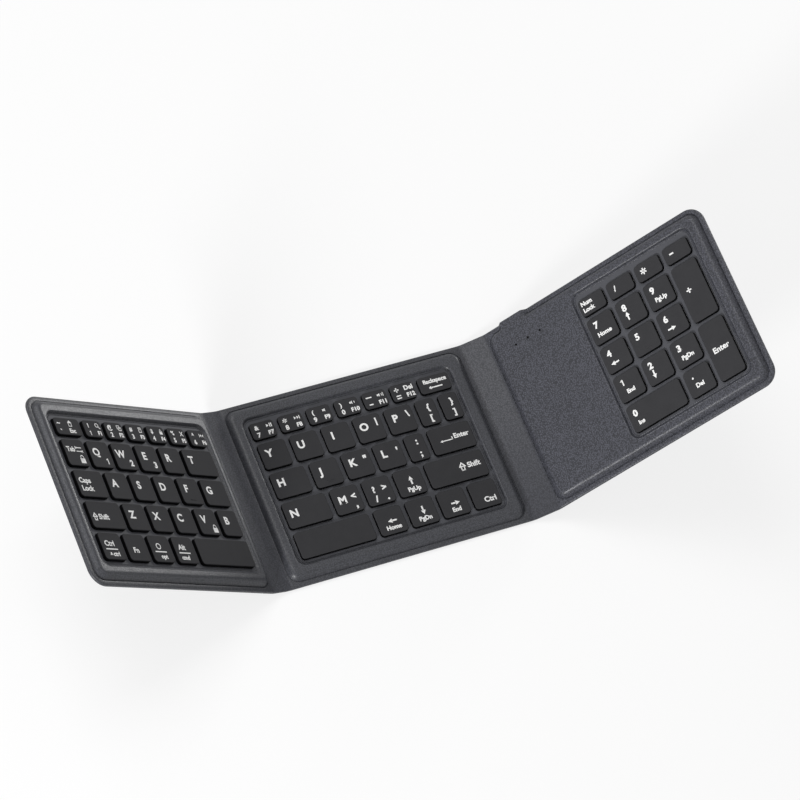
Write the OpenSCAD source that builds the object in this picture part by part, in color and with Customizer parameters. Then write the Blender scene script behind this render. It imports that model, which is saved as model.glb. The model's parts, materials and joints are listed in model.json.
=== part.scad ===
/*
Pocket keyboard that folds in three. A middle panel lies on the table, a left
wing and a right wing swing on soft hinge bands, and the right band is wider so
that the right wing closes over the left one. Units are millimetres, +Z is up,
+Y points to the number row, and the origin is the centre of the underside of
the middle panel. The wings are drawn at the angles they rest at.
*/

/* [Panels] */
// Depth of every panel from its front edge to its back edge
panel_depth = 96.8; // [80:0.2:120]
// Width of the middle panel between its two crease lines
middle_w = 126.8; // [110:0.2:150]
// Length of the left wing from its crease line to its outer edge
left_w = 119.4; // [100:0.2:140]
// Length of the right wing from its crease line to its outer edge
right_w = 124.8; // [105:0.2:145]
// Radius of the outer corners of the wings
corner_r = 8; // [2:0.5:14]
// Width of the thin sewn edge around the raised part of a panel
flange_w = 2.2; // [1:0.1:4]
// Horizontal run of the slope from the thin edge up to the raised top
slope_run = 1.8; // [1:0.1:3]
// Distance from a wing's crease line to its raised part
wing_core_inset = 1.1; // [1.1:0.1:3]
// Distance from a crease line of the middle panel to its raised part
middle_core_inset = 2.3; // [1.1:0.1:4]
// Radius of the raised part at the foot of its slope
core_r = 5.8; // [3:0.1:9]

/* [Folding] */
// Angle by which the left wing is raised in the rest pose
left_open_angle = 36.2; // [0:0.1:90]
// Angle by which the right wing is raised in the rest pose
right_open_angle = 42.5; // [0:0.1:90]
// Gap left between the key tops of two panels when they are closed
fold_gap = 0.3; // [0.2:0.05:1]
// Gap between a panel's rounded crease edge and the hinge band next to it
crease_gap = 0.3; // [0.2:0.05:0.5]

/* [Thickness] */
// Thickness of the leather
leather_t = 0.5; // [0.3:0.1:1]
// Thickness of the thin sewn edge and of the hinge bands
edge_t = 1.6; // [1.2:0.1:2.4]
// Height of the ribs between the keys above the underside
web_z = 3; // [2.6:0.1:4]
// Height of the leather top above the underside
plateau_z = 4.2; // [3.6:0.1:6]
// Thickness of the ribs between the keys
web_t = 1; // [0.6:0.1:1.4]
// Thickness of the steel base plates
plate_t = 0.3; // [0.2:0.05:0.5]
// Thickness of the printed contact sheets
membrane_t = 0.3; // [0.1:0.05:0.4]

/* [Keys] */
// Height of the key tops above the ribs when no key is pressed
key_h = 1.65; // [1.3:0.05:2.5]
// Travel of a key
key_travel = 1.2; // [0.8:0.05:1.3]
// Distance from the front edge of a panel to its keys
keys_front_margin = 11.3; // [8:0.1:14]
// Distance from the back edge of a panel to its keys
keys_back_margin = 12.3; // [9:0.1:15]
// Depth of the number row, as a share of the pitch of the rows
number_share = 0.575; // [0.5:0.005:1]
// Width of the rib between two key openings of a row
rib_w = 2; // [1:0.1:3]
// Width of the rib between two rows
row_rib_w = 1.9; // [1:0.1:3]
// Gap between a key and its opening all round
key_gap = 0.2; // [0.15:0.05:0.5]
// Radius of the key corners
key_r = 1.7; // [0.5:0.1:3]
// Distance from the outer edge of the left wing to its keys
left_outer_margin = 9.9; // [8:0.1:14]
// Distance from the crease line of the left wing to its keys
left_crease_margin = 9.3; // [7:0.1:14]
// Distance from the left crease line of the middle panel to its keys
middle_left_margin = 11.3; // [8:0.1:14]
// Distance from the right crease line of the middle panel to its keys
middle_right_margin = 12.6; // [8:0.1:14]
// Share of the right wing's length that lies before the number pad
blank_share = 0.4087; // [0.36:0.0001:0.5]
// Distance from the outer edge of the right wing to the number pad
pad_outer_margin = 11.16; // [8:0.01:14]

/* [Key widths, counted in letter key pitches] */
// Length of the key rows of the left wing
left_units = 6.442; // [6:0.001:7]
// Pitch of the number keys on the left wing
left_number_units = 0.888; // [0.8:0.001:1]
// Width of the escape key
esc_units = 1.169; // [0.9:0.001:1.5]
// Width of the tab key
tab_units = 1; // [0.9:0.001:1.5]
// Width of the caps lock key
caps_units = 1.267; // [1:0.001:1.6]
// Width of the left shift key
left_shift_units = 1.492; // [1:0.001:1.7]
// Width of the left control key
ctrl_units = 1.008; // [0.9:0.001:1.3]
// Length of the key rows of the middle panel
middle_units = 6.489; // [6:0.001:7]
// Pitch of the number keys on the middle panel
middle_number_units = 0.8915; // [0.8:0.0005:1]
// Width of the H key
h_units = 1.245; // [1:0.001:1.5]
// Width of the N key
n_units = 1.503; // [1:0.001:1.8]
// Width of the right space key
right_space_units = 2.494; // [2:0.001:2.6]
// Width of the two narrow punctuation keys
narrow_units = 0.753; // [0.7:0.001:1]

/* [Key wells] */
// Margin of the well floor beside the keys
well_side = 1; // [0.4:0.1:3]
// Margin of the well floor in front of the keys
well_front = 1; // [0.4:0.1:3]
// Margin of the well floor behind the number row on the keyed panels
well_back = 1.9; // [0.4:0.1:4]
// Margin of the well floor behind the number row on the number pad
pad_well_back = 3; // [0.4:0.1:4]
// Horizontal run of the wall of a well
well_run = 1.4; // [0.8:0.1:3]
// Corner radius of the floor of a well
well_r = 3; // [1:0.1:6]

/* [Inside] */
// Thickness of the rubber sheet that the domes stand on
rubber_t = 0.3; // [0.2:0.05:0.4]
// Gap between a dome and the top of a pressed key
dome_gap = 0.1; // [0.05:0.05:0.2]
// Gap between the rubber sheet and the walls of a pressed key
cap_gap = 0.15; // [0.1:0.05:0.3]
// Diameter of the rubber domes under the keys
dome_d = 4.6; // [3:0.1:5]
// Width of a key's scissor link
scissor_w = 7.6; // [6:0.1:8]
// Depth of a key's scissor link
scissor_d = 6.2; // [5.5:0.1:7]
// Height of a scissor link
scissor_h = 0.5; // [0.3:0.05:0.6]
// Thickness of the side walls of a key
cap_wall = 0.8; // [0.5:0.05:0.9]
// Thickness of the top of a key
cap_roof_t = 0.9; // [0.7:0.05:1]
// Step in from the side of a key to its finger face
cap_edge = 0.25; // [0.1:0.05:0.5]
// Width of the flat cables through the hinge bands
cable_w = 12; // [6:0.5:16]
// Distance from the back edge to the middle of the flat cables
cable_back = 14.4; // [13.5:0.1:20]
// Wall left around the electronics bay of the right wing
bay_wall = 2.1; // [1.5:0.1:3]
// Gap between the battery or the board and the end of the bay
bay_gap = 2; // [1:0.1:4]
// Length of the battery
battery_l = 46; // [36:0.5:54]
// Gap between the battery and the main board
board_gap = 3.9; // [1:0.1:6]
// Thickness of the main board
board_t = 0.6; // [0.4:0.1:0.8]
// Thickness of the battery
battery_t = 2.2; // [1.5:0.1:2.4]
// Distance from the front of the main board to its chips
chip_front = 4.2; // [1:0.1:8]
// Side of the processor on the main board
chip_w = 7; // [4:0.5:9]
// Width of the radio module on the main board
radio_w = 10; // [6:0.5:12]
// Diameter of the three status lights
light_d = 1; // [0.6:0.1:2]
// Distance between the status lights
light_pitch = 6.95; // [4:0.05:8]
// First status light, from the right wing's crease line
light_x = 14.5; // [10:0.1:18]
// Distance from the back edge to the status lights
light_back = 14.4; // [11:0.1:20]
// Left end of the charging port's raised top, from the crease line
port_x = 11.3; // [9:0.1:16]
// Width of the charging port's raised top
port_w = 12; // [10:0.1:16]
// Length of the block around the charging socket
port_l = 7.4; // [6.5:0.1:9]
// Width of the charging socket
socket_w = 7.4; // [7:0.1:9]
// Height of the charging socket's underside above the base plate
socket_lift = 0.15; // [0.1:0.05:0.2]
// Height of the charging socket
socket_h = 2.3; // [2:0.1:2.4]
// Distance from the front or back edge to the middle of a closing magnet
magnet_margin = 20.4; // [16:0.1:26]
// Length of a closing magnet
magnet_l = 14; // [6:0.5:20]
// Width of a closing magnet
magnet_w = 2.4; // [1.5:0.1:3]
// Height of a closing magnet
magnet_h = 1.5; // [1:0.1:2]
// Gap all round a magnet in its pocket
magnet_gap = 0.05; // [0.02:0.01:0.2]

/* [Hidden] */
$fn = 64;
crease_z = edge_t / 2;
key_top_z = web_z + key_h;
left_band_w = 2 * (key_top_z - crease_z) + fold_gap;
left_back_z = 2 * crease_z + left_band_w;
right_band_w = left_back_z + fold_gap + (key_top_z - crease_z) - crease_z;
band_end = crease_z + crease_gap;
half_d = panel_depth / 2;
half_m = middle_w / 2;
plateau_r = core_r - slope_run;
slope_k = (plateau_z - edge_t) / slope_run;
slope_in = (leather_t * sqrt(1 + slope_k * slope_k) - leather_t) / slope_k;
well_k = (plateau_z - web_z) / well_run;
well_in = (leather_t * sqrt(1 + well_k * well_k) - leather_t) / well_k;
well_foot = leather_t * sqrt(1 + well_k * well_k) / well_k;
under_z = edge_t - leather_t;
skin_under_z = plateau_z - leather_t;
plate_z = leather_t + plate_t;
sheet_z = plate_z + membrane_t;
dome_sheet_z = sheet_z + rubber_t;
dome_top_z = key_top_z - cap_roof_t - key_travel - dome_gap;
cap_bottom_z = dome_sheet_z + key_travel + cap_gap;
cap_roof_z = key_top_z - cap_roof_t;
well_top = well_r + well_run;
keys_front = -half_d + keys_front_margin;
keys_back = half_d - keys_back_margin;
row_pitch = (keys_back - keys_front) / (4 + number_share);
number_d = number_share * row_pitch;
key_d = row_pitch - row_rib_w;
row_y = [for (r = [4:-1:0]) keys_front + r * row_pitch];
left_keys_x = -left_w + left_outer_margin;
left_keys_w = left_w - left_outer_margin - left_crease_margin;
left_pitch = (left_keys_w + rib_w) / left_units;
left_number_pitch = left_number_units * left_pitch;
middle_keys_x = -half_m + middle_left_margin;
middle_keys_w = middle_w - middle_left_margin - middle_right_margin;
middle_pitch = (middle_keys_w + rib_w) / middle_units;
middle_number_pitch = middle_number_units * middle_pitch;
pad_keys_x = blank_share * right_w;
pad_w = right_w - pad_outer_margin - pad_keys_x;
pad_pitch = (pad_w + rib_w) / 4;
pad_cell = pad_pitch - rib_w;
tall_d = row_pitch + key_d;
left_core_a = -left_w + flange_w;
left_core_b = -wing_core_inset;
right_core_a = wing_core_inset;
right_core_b = right_w - flange_w;
mid_core = half_m - middle_core_inset;
core_y = half_d - flange_w;
magnet_y = half_d - magnet_margin;
magnet_left_x = left_core_a + magnet_w * 2 / 3;
magnet_right_x = right_core_b - magnet_w * 5 / 3;
left_wa = left_keys_x - well_side;
left_wb = left_keys_x + left_keys_w + well_side;
mid_wa = middle_keys_x - well_side;
mid_wb = middle_keys_x + middle_keys_w + well_side;
pad_wa = pad_keys_x - well_side;
pad_wb = pad_keys_x + pad_w + well_side;
well_f = keys_front - well_front;
well_b = keys_back + well_back;
pad_well_b = keys_back + pad_well_back;
cable_y = half_d - cable_back;
port_y = half_d - port_l;
socket_x = port_x + (port_w - socket_w) / 2;
socket_z = plate_z + socket_lift;
bay_x = right_core_a + slope_run + bay_wall;
bay_w = pad_wa - well_run - 2 * bay_gap - 0.75 * bay_wall - bay_x;
bay_front = -half_d + 4 * bay_wall;
bay_back = port_y - 0.1;
bay_fill_w = bay_w - 2 * bay_gap;
board_x = bay_x + bay_gap / 2;
battery_y = bay_front + bay_gap / 2;
board_y = battery_y + battery_l + board_gap;
board_l = bay_back - board_y;
pad_tail_y = board_y + 1.1;

// A rectangle with four round corners
module rrect(x0, x1, y0, y1, r) {
  translate([x0 + r, y0]) square([x1 - x0 - 2 * r, y1 - y0]);
  translate([x0, y0 + r]) square([x1 - x0, y1 - y0 - 2 * r]);
  for (cx = [x0 + r, x1 - r])
    for (cy = [y0 + r, y1 - r])
      translate([cx, cy]) circle(r = r);
}

// The same, with the corners of side a or b left square
module outline(x0, x1, y0, y1, r, round_a, round_b) {
  rrect(x0, x1, y0, y1, r);
  if (!round_a) translate([x0, y0]) square([r + 1, y1 - y0]);
  if (!round_b) translate([x1 - r - 1, y0]) square([r + 1, y1 - y0]);
}

// Carries a profile around a rectangle with round corners of radius r.
// The profile's x is the distance from the corner's centre.
module ring(x0, x1, y0, y1, r) {
  translate([x1 - r, y1 - r, 0]) rotate_extrude(angle = 90) children();
  translate([x0 + r, y1 - r, 0]) rotate([0, 0, 90]) rotate_extrude(angle = 90) children();
  translate([x0 + r, y0 + r, 0]) rotate([0, 0, 180]) rotate_extrude(angle = 90) children();
  translate([x1 - r, y0 + r, 0]) rotate([0, 0, 270]) rotate_extrude(angle = 90) children();
  translate([x1 - r, y1 - r, 0]) rotate([90, 0, 0])
    linear_extrude(height = y1 - y0 - 2 * r) children();
  translate([x0 + r, y1 - r, 0]) rotate([90, 0, 90])
    linear_extrude(height = x1 - x0 - 2 * r) children();
  translate([x0 + r, y0 + r, 0]) rotate([90, 0, 180])
    linear_extrude(height = y1 - y0 - 2 * r) children();
  translate([x1 - r, y0 + r, 0]) rotate([90, 0, 270])
    linear_extrude(height = x1 - x0 - 2 * r) children();
}

// The ring with the rectangle between its corner centres filled from z0 to z1
module filled_ring(x0, x1, y0, y1, r, z0, z1) {
  ring(x0, x1, y0, y1, r) children();
  translate([x0 + r, y0 + r, z0]) cube([x1 - x0 - 2 * r, y1 - y0 - 2 * r, z1 - z0]);
}

// Places for the pieces of the wings and of the hinge bands
module on_left_band() {
  translate([-half_m, 0, crease_z]) rotate([0, left_open_angle / 2, 0]) children();
}
module on_left() {
  on_left_band() translate([-left_band_w, 0, 0]) rotate([0, left_open_angle / 2, 0])
    translate([0, 0, -crease_z]) children();
}
module on_right_band() {
  translate([half_m, 0, crease_z]) rotate([0, -right_open_angle / 2, 0]) children();
}
module on_right() {
  on_right_band() translate([right_band_w, 0, 0]) rotate([0, -right_open_angle / 2, 0])
    translate([0, 0, -crease_z]) children();
}

// Upper half of a rounded crease edge. s is 1 if the edge faces +X.
module crease_top(s) {
  intersection() {
    difference() {
      rotate([90, 0, 0]) cylinder(r = crease_z, h = panel_depth, center = true);
      rotate([90, 0, 0]) cylinder(r = crease_z - leather_t, h = panel_depth + 1, center = true);
    }
    translate([s > 0 ? 0 : -edge_t, -half_d, 0]) cube([edge_t, panel_depth, edge_t]);
  }
}
module crease_bottom(s) {
  intersection() {
    difference() {
      rotate([90, 0, 0]) cylinder(r = crease_z, h = panel_depth, center = true);
      rotate([90, 0, 0]) cylinder(r = crease_z - leather_t, h = panel_depth + 1, center = true);
    }
    translate([s > 0 ? 0 : -edge_t, -half_d, -edge_t]) cube([edge_t, panel_depth, edge_t]);
  }
}
module crease_core(s) {
  intersection() {
    rotate([90, 0, 0]) cylinder(r = crease_z - leather_t, h = panel_depth, center = true);
    translate([s > 0 ? 0 : -edge_t, -half_d, -edge_t]) cube([edge_t, panel_depth, 2 * edge_t]);
  }
}

// Leather sheet under a panel, with the lower half of its crease edges
module bottom_skin(xa, xb, crease_a, crease_b) {
  linear_extrude(height = leather_t)
    outline(xa, xb, -half_d, half_d, corner_r, !crease_a, !crease_b);
  if (crease_a) translate([xa, 0, crease_z]) crease_bottom(-1);
  if (crease_b) translate([xb, 0, crease_z]) crease_bottom(1);
}

// Leather over a panel: thin edge, wrapped rim, slope, raised top and well wall
module top_skin(xa, xb, crease_a, crease_b, ca, cb, wa, wb, wf, wk) {
  difference() {
    translate([0, 0, under_z]) linear_extrude(height = leather_t)
      outline(xa, xb, -half_d, half_d, corner_r, !crease_a, !crease_b);
    translate([0, 0, under_z - 1]) linear_extrude(height = leather_t + 2)
      rrect(ca, cb, -core_y, core_y, core_r);
  }
  difference() {
    translate([0, 0, leather_t]) linear_extrude(height = under_z - leather_t)
      outline(xa, xb, -half_d, half_d, corner_r, !crease_a, !crease_b);
    translate([0, 0, leather_t - 1]) linear_extrude(height = under_z - leather_t + 2)
      outline(crease_a ? xa - 1 : xa + leather_t, crease_b ? xb + 1 : xb - leather_t,
        -half_d + leather_t, half_d - leather_t, corner_r - leather_t,
        !crease_a, !crease_b);
  }
  if (crease_a) translate([xa, 0, crease_z]) crease_top(-1);
  if (crease_b) translate([xb, 0, crease_z]) crease_top(1);
  ring(ca, cb, -core_y, core_y, core_r)
    polygon([[core_r - slope_in, under_z], [core_r, under_z], [core_r, edge_t],
      [plateau_r, plateau_z], [plateau_r, skin_under_z],
      [plateau_r - slope_in, skin_under_z]]);
  difference() {
    translate([0, 0, skin_under_z]) linear_extrude(height = leather_t)
      rrect(ca + slope_run, cb - slope_run, -core_y + slope_run,
        core_y - slope_run, plateau_r);
    translate([0, 0, skin_under_z - 1]) linear_extrude(height = leather_t + 2)
      rrect(wa - well_run, wb + well_run, wf - well_run, wk + well_run, well_top);
  }
  ring(wa - well_run, wb + well_run, wf - well_run, wk + well_run, well_top)
    polygon([[well_r, web_z], [well_r, web_z + 0.08], [well_top, plateau_z],
      [well_top, skin_under_z], [well_top + well_in, skin_under_z],
      [well_r + well_foot, web_z]]);
}

// Moulded frame of a panel with its key openings left uncut
module frame_body(xa, xb, crease_a, crease_b, ca, cb, wa, wb, wf, wk) {
  difference() {
    union() {
      translate([0, 0, leather_t]) linear_extrude(height = under_z - leather_t)
        outline(crease_a ? xa : xa + leather_t, crease_b ? xb : xb - leather_t,
          -half_d + leather_t, half_d - leather_t, corner_r - leather_t,
          !crease_a, !crease_b);
      filled_ring(ca, cb, -core_y, core_y, core_r, under_z, skin_under_z)
        polygon([[0, under_z], [core_r - slope_in, under_z],
          [plateau_r - slope_in, skin_under_z], [0, skin_under_z]]);
    }
    filled_ring(wa - well_run, wb + well_run, wf - well_run, wk + well_run,
      well_top, web_z, skin_under_z + 1)
      polygon([[0, web_z], [well_r + well_foot, web_z],
        [well_top + well_in, skin_under_z], [well_top + well_in, skin_under_z + 1],
        [0, skin_under_z + 1]]);
    translate([ca + 1, -core_y + 1, 0]) cube([cb - ca - 2, 2 * core_y - 2, plate_z]);
    translate([wa, wf, plate_z - 0.1])
      cube([wb - wa, wk - wf, web_z - web_t - plate_z + 0.1]);
  }
  if (crease_a)
    translate([xa, 0, crease_z]) intersection() {
      crease_core(-1);
      cube([edge_t, panel_depth - 2 * leather_t, edge_t], center = true);
    }
  if (crease_b)
    translate([xb, 0, crease_z]) intersection() {
      crease_core(1);
      cube([edge_t, panel_depth - 2 * leather_t, edge_t], center = true);
    }
}

module base_plate(ca, cb) {
  translate([ca + 1, -core_y + 1, leather_t])
    cube([cb - ca - 2, 2 * core_y - 2, plate_t]);
}

// Cells of one row: a first key of u1 units, n keys at the pitch q, an optional
// narrow key of u2 units and a last key that fills the row. One unit is p wide.
// Only the cells i0 to i1 are drawn.
module cells(x, w, p, u1, q, n, u2, y, d, i0, i1) {
  reg_x = x + u1 * p;
  last_x = reg_x + n * q + u2 * p;
  m = u2 > 0 ? 1 : 0;
  if (i0 <= 0) cell(x, y, u1 * p - rib_w, d) children();
  for (i = [1:1:n])
    if (i >= i0 && i <= i1)
      cell(reg_x + (i - 1) * q, y, q - rib_w, d) children();
  if (m == 1 && n + 1 >= i0 && n + 1 <= i1)
    cell(reg_x + n * q, y, u2 * p - rib_w, d) children();
  if (n + 1 + m >= i0 && n + 1 + m <= i1)
    cell(last_x, y, x + w - last_x, d) children();
}
module cell(x, y, w, d) {
  $cell_w = w;
  $cell_d = d;
  translate([x + w / 2, y + d / 2, 0]) children();
}

module left_cells(r, u1, q, n, d, i0, i1) {
  cells(left_keys_x, left_keys_w, left_pitch, u1, q, n, 0, row_y[r], d, i0, i1) children();
}
module left_row(r, i0, i1) {
  if (r == 0) left_cells(0, esc_units, left_number_pitch, 5, number_d, i0, i1) children();
  if (r == 1) left_cells(1, tab_units, left_pitch, 4, key_d, i0, i1) children();
  if (r == 2) left_cells(2, caps_units, left_pitch, 4, key_d, i0, i1) children();
  if (r == 3) left_cells(3, left_shift_units, left_pitch, 4, key_d, i0, i1) children();
  if (r == 4) left_cells(4, ctrl_units, left_pitch, 3, key_d, i0, i1) children();
}
module middle_cells(r, u1, q, n, u2, d, i0, i1) {
  cells(middle_keys_x, middle_keys_w, middle_pitch, u1, q, n, u2, row_y[r], d,
    i0, i1) children();
}
module middle_row(r, i0, i1) {
  if (r == 0) middle_cells(0, middle_number_units, middle_number_pitch, 5, 0,
    number_d, i0, i1) children();
  if (r == 1) middle_cells(1, 1, middle_pitch, 4, narrow_units, key_d, i0, i1) children();
  if (r == 2) middle_cells(2, h_units, middle_pitch, 3, narrow_units, key_d, i0, i1) children();
  if (r == 3) middle_cells(3, n_units, middle_pitch, 3, 0, key_d, i0, i1) children();
  if (r == 4) middle_cells(4, right_space_units, middle_pitch, 3, 0, key_d, i0, i1) children();
}
module pad_cell_at(c, r, w, d) {
  cell(pad_keys_x + c * pad_pitch, row_y[r], w, d) children();
}
module pad_rows(r) {
  for (c = [0:2]) pad_cell_at(c, r, pad_cell, key_d) children();
}
module pad_top() {
  for (c = [0:3]) pad_cell_at(c, 0, pad_cell, number_d) children();
}
module pad_plus() {
  pad_cell_at(3, 2, pad_cell, tall_d) children();
}
module pad_enter() {
  pad_cell_at(3, 4, pad_cell, tall_d) children();
}
module pad_zero() {
  pad_cell_at(0, 4, pad_pitch + pad_cell, key_d) children();
}
module pad_point() {
  pad_cell_at(2, 4, pad_cell, key_d) children();
}
module all_left() {
  for (r = [0:4]) left_row(r, 0, 9) children();
}
module all_middle() {
  for (r = [0:4]) middle_row(r, 0, 9) children();
}
module all_pad() {
  pad_top() children();
  for (r = [1:3]) pad_rows(r) children();
  pad_plus() children();
  pad_enter() children();
  pad_zero() children();
  pad_point() children();
}

module key_opening() {
  translate([0, 0, web_z - web_t - 0.5]) linear_extrude(height = web_t + 1)
    rrect(-$cell_w / 2, $cell_w / 2, -$cell_d / 2, $cell_d / 2, key_r + key_gap);
}
module cap() {
  w = $cell_w / 2 - key_gap;
  d = $cell_d / 2 - key_gap;
  difference() {
    union() {
      translate([0, 0, cap_bottom_z]) linear_extrude(height = key_top_z - 0.3 - cap_bottom_z)
        rrect(-w, w, -d, d, key_r);
      translate([0, 0, key_top_z - 0.5]) linear_extrude(height = 0.5)
        rrect(-w + cap_edge, w - cap_edge, -d + cap_edge, d - cap_edge, key_r - cap_edge);
    }
    translate([-w + cap_wall, -d + cap_wall, cap_bottom_z - 1])
      cube([2 * (w - cap_wall), 2 * (d - cap_wall), cap_roof_z - cap_bottom_z + 1]);
  }
}
module dome() {
  translate([0, 0, sheet_z]) cylinder(d = dome_d, h = dome_top_z - sheet_z);
}
module scissor() {
  translate([0, 0, dome_sheet_z]) difference() {
    translate([-scissor_w / 2, -scissor_d / 2, 0]) cube([scissor_w, scissor_d, scissor_h]);
    translate([0, 0, -1]) cylinder(d = dome_d + 0.5, h = 3);
  }
}
module sheet(wa, wb, wf, wk, z, t) {
  translate([wa + 0.2, wf + 0.2, z]) cube([wb - wa - 0.4, wk - wf - 0.4, t]);
}
module dome_rubber(wa, wb, wf, wk) {
  sheet(wa, wb, wf, wk, sheet_z, dome_sheet_z - sheet_z);
}
module cable_tail(xa, xb) {
  translate([xa, cable_y - cable_w / 2, plate_z]) cube([xb - xa, cable_w, membrane_t]);
}

module middle_bottom_skin() {
  color("#3c3d42") bottom_skin(-half_m, half_m, true, true);
}
module middle_base_plate() {
  color("#9a9da1") base_plate(-mid_core, mid_core);
}
module middle_contact_sheet() {
  color("#2f5f3f") union() {
    sheet(mid_wa, mid_wb, well_f, well_b, plate_z, membrane_t);
    cable_tail(-half_m, mid_wa + 1);
    cable_tail(mid_wb - 1, half_m);
  }
}
module middle_dome_sheet() {
  color("#c9c9c4") union() {
    dome_rubber(mid_wa, mid_wb, well_f, well_b);
    all_middle() dome();
  }
}
module middle_scissor_links() {
  color("#e6e6e2") all_middle() scissor();
}
module middle_key_frame() {
  color("#4a4b50") difference() {
    frame_body(-half_m, half_m, true, true, -mid_core, mid_core,
      mid_wa, mid_wb, well_f, well_b);
    all_middle() key_opening();
    cable_tail(-half_m, mid_wa + 1);
    cable_tail(mid_wb - 1, half_m);
  }
}
module middle_top_skin() {
  color("#4f5056") top_skin(-half_m, half_m, true, true, -mid_core, mid_core,
    mid_wa, mid_wb, well_f, well_b);
}

module left_bottom_skin() {
  color("#3c3d42") on_left() bottom_skin(-left_w, 0, false, true);
}
module left_base_plate() {
  color("#9a9da1") on_left() base_plate(left_core_a, left_core_b);
}
module left_contact_sheet() {
  color("#2f5f3f") on_left() union() {
    sheet(left_wa, left_wb, well_f, well_b, plate_z, membrane_t);
    cable_tail(left_wb - 1, 0);
  }
}
module left_dome_sheet() {
  color("#c9c9c4") on_left() union() {
    dome_rubber(left_wa, left_wb, well_f, well_b);
    all_left() dome();
  }
}
module left_scissor_links() {
  color("#e6e6e2") on_left() all_left() scissor();
}
module left_key_frame() {
  color("#4a4b50") on_left() difference() {
    frame_body(-left_w, 0, false, true, left_core_a, left_core_b,
      left_wa, left_wb, well_f, well_b);
    all_left() key_opening();
    cable_tail(left_wb - 1, 0);
    magnet_pair(magnet_left_x, magnet_gap);
  }
}
module left_top_skin() {
  color("#4f5056") on_left() top_skin(-left_w, 0, false, true, left_core_a,
    left_core_b, left_wa, left_wb, well_f, well_b);
}
// Two magnets, or their pockets with a gap g all round
module magnet_pair(x, g) {
  for (s = [-1, 1])
    translate([x - g, s * magnet_y - magnet_l / 2 - g, plate_z - g])
      cube([magnet_w + 2 * g, magnet_l + 2 * g, magnet_h + 2 * g]);
}
module left_magnets() {
  color("#b9bcc0") on_left() magnet_pair(magnet_left_x, 0);
}

module right_bottom_skin() {
  color("#3c3d42") on_right() bottom_skin(0, right_w, true, false);
}
module right_base_plate() {
  color("#9a9da1") on_right() difference() {
    base_plate(right_core_a, right_core_b);
    port_body(2);
  }
}
module right_contact_sheet() {
  color("#2f5f3f") on_right() union() {
    sheet(pad_wa, pad_wb, well_f, pad_well_b, plate_z, membrane_t);
    translate([board_x + bay_fill_w, pad_tail_y, plate_z])
      cube([pad_wa + 1 - board_x - bay_fill_w, cable_w, membrane_t]);
  }
}
module right_dome_sheet() {
  color("#c9c9c4") on_right() union() {
    dome_rubber(pad_wa, pad_wb, well_f, pad_well_b);
    all_pad() dome();
  }
}
module right_scissor_links() {
  color("#e6e6e2") on_right() all_pad() scissor();
}
// Solid under the raised leather of the charging port, e wider than it
module port_body(e) {
  a = port_x - slope_run + slope_in;
  b = port_x + port_w + slope_run - slope_in;
  translate([0, half_d + (e > 0 ? 1 : 0), 0]) rotate([90, 0, 0])
    linear_extrude(height = port_l + (e > 0 ? 1 : 0))
    polygon([[a, leather_t - e], [b, leather_t - e], [b, under_z],
      [port_x + port_w - slope_in, skin_under_z],
      [port_x + slope_in, skin_under_z], [a, under_z]]);
}
module port_cover() {
  translate([0, half_d, 0]) rotate([90, 0, 0]) linear_extrude(height = port_l - 2)
    polygon([[port_x - slope_run, under_z], [port_x + port_w + slope_run, under_z],
      [port_x + port_w + slope_run, edge_t], [port_x + port_w, plateau_z],
      [port_x, plateau_z], [port_x - slope_run, edge_t]]);
}
module socket_space(y0) {
  translate([socket_x, y0, socket_z]) cube([socket_w, half_d - 0.3 - y0, socket_h]);
}
module light_pins(d, z0, z1) {
  for (i = [0:2])
    translate([light_x + i * light_pitch, half_d - light_back, z0]) cylinder(d = d, h = z1 - z0);
}
module right_key_frame() {
  color("#4a4b50") on_right() difference() {
    frame_body(0, right_w, true, false, right_core_a, right_core_b,
      pad_wa, pad_wb, well_f, pad_well_b);
    all_pad() key_opening();
    magnet_pair(magnet_right_x, magnet_gap);
    port_body(0.2);
    port_cover();
    translate([bay_x, bay_front, plate_z - 0.1])
      cube([bay_w, bay_back - bay_front, skin_under_z - 0.4 - plate_z]);
    translate([bay_x + bay_w - 1, pad_tail_y, plate_z - 0.1])
      cube([pad_wa + 2 - bay_x - bay_w, cable_w, membrane_t + 0.1]);
    translate([-1, cable_y - cable_w / 2, plate_z - 0.1])
      cube([bay_x + 2, cable_w, membrane_t + 0.1]);
    light_pins(light_d, 1, plateau_z);
  }
}
module right_top_skin() {
  color("#4f5056") on_right() difference() {
    union() {
      top_skin(0, right_w, true, false, right_core_a, right_core_b,
        pad_wa, pad_wb, well_f, pad_well_b);
      port_cover();
    }
    port_body(0.2);
    light_pins(light_d, 1, plateau_z + 1);
  }
}
module right_magnets() {
  color("#b9bcc0") on_right() magnet_pair(magnet_right_x, 0);
}

// Leather band between two creases with a slot for the flat cable
module band(w) {
  difference() {
    translate([band_end, -half_d, -crease_z]) cube([w - 2 * band_end, panel_depth, edge_t]);
    band_cable(w, 0.5);
  }
}
module band_cable(w, e) {
  translate([band_end - e, cable_y - cable_w / 2, -0.15])
    cube([w - 2 * band_end + 2 * e, cable_w, 0.3]);
}
module left_hinge_band() {
  color("#47484d") on_left_band() mirror([1, 0, 0]) band(left_band_w);
}
module left_flat_cable() {
  color("#b5762f") on_left_band() mirror([1, 0, 0]) band_cable(left_band_w, 0);
}
module right_hinge_band() {
  color("#47484d") on_right_band() band(right_band_w);
}
module right_flat_cable() {
  color("#b5762f") on_right_band() band_cable(right_band_w, 0);
}

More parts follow.
